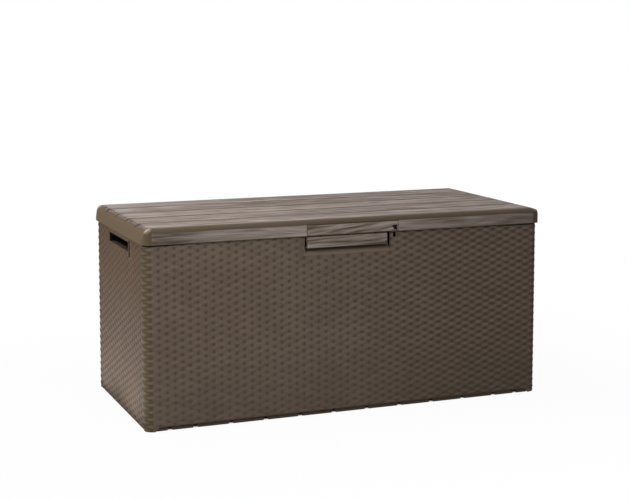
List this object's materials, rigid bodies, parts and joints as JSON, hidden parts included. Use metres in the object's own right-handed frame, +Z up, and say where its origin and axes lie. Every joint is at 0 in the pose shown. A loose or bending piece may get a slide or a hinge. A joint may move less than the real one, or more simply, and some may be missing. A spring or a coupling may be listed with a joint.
{
  "type": "deck storage box",
  "caption": "Free-standing outdoor storage box with wicker-look moulded walls, a hinged plank-look lid, end hand holes and a front pull flap with padlock holes.",
  "frame": {"origin": "middle of the box's footprint, on the floor it stands on", "axes": "+X along the box towards its right end, the front faces -Y, +Z up"},
  "size_m": [1.186, 0.55, 0.543],
  "materials": {
    "wicker_wall": "moulded wicker relief, satin, brown",
    "plank_lid": "moulded wood-grain relief with pale streaks over brown",
    "inner_plastic": "smooth moulded, satin, dark brown",
    "floor_plastic": "smooth moulded, satin, near black",
    "steel": "bright zinc plated",
    "bumper_rubber": "matt black"
  },
  "bodies": {
    "box": {"front_wall": "wicker_wall", "back_wall": "wicker_wall", "left_end_wall": "wicker_wall", "right_end_wall": "wicker_wall", "left_hand_cup": "wicker_wall", "right_hand_cup": "wicker_wall", "corner_post_front_left": "inner_plastic", "corner_post_front_right": "inner_plastic", "corner_post_back_left": "inner_plastic", "corner_post_back_right": "inner_plastic", "floor_half_left": "floor_plastic", "floor_half_right": "floor_plastic", "floor_splice": "floor_plastic", "splice_screws": "steel", "wall_rivets": "inner_plastic", "latch_pocket": "wicker_wall", "hinge_bracket_left": "inner_plastic", "hinge_bracket_right": "inner_plastic", "hinge_pin_left": "steel", "hinge_pin_right": "steel", "hinge_bolts": "steel", "hinge_nuts": "steel"},
    "lid": {"lid_shell": "plank_lid", "lid_liner": "inner_plastic", "lid_bumpers": "bumper_rubber", "hinge_knuckle_left": "inner_plastic", "hinge_knuckle_right": "inner_plastic", "lid_hinge_screws": "steel", "latch_plate": "plank_lid", "latch_plate_screws": "steel", "flap_pin": "steel"},
    "flap": {"latch_flap": "plank_lid"}
  },
  "joints": [
    {"name": "lid_hinge", "type": "hinge", "parent": "box", "child": "lid", "pos_m": [0, 0.268, 0.493], "axis": [-1, 0, 0], "range_deg": [0, 100]},
    {"name": "flap_hinge", "type": "hinge", "parent": "lid", "child": "flap", "pos_m": [-0.013, -0.2685, 0.4935], "axis": [-1, 0, 0], "range_deg": [0, 85]}
  ]
}
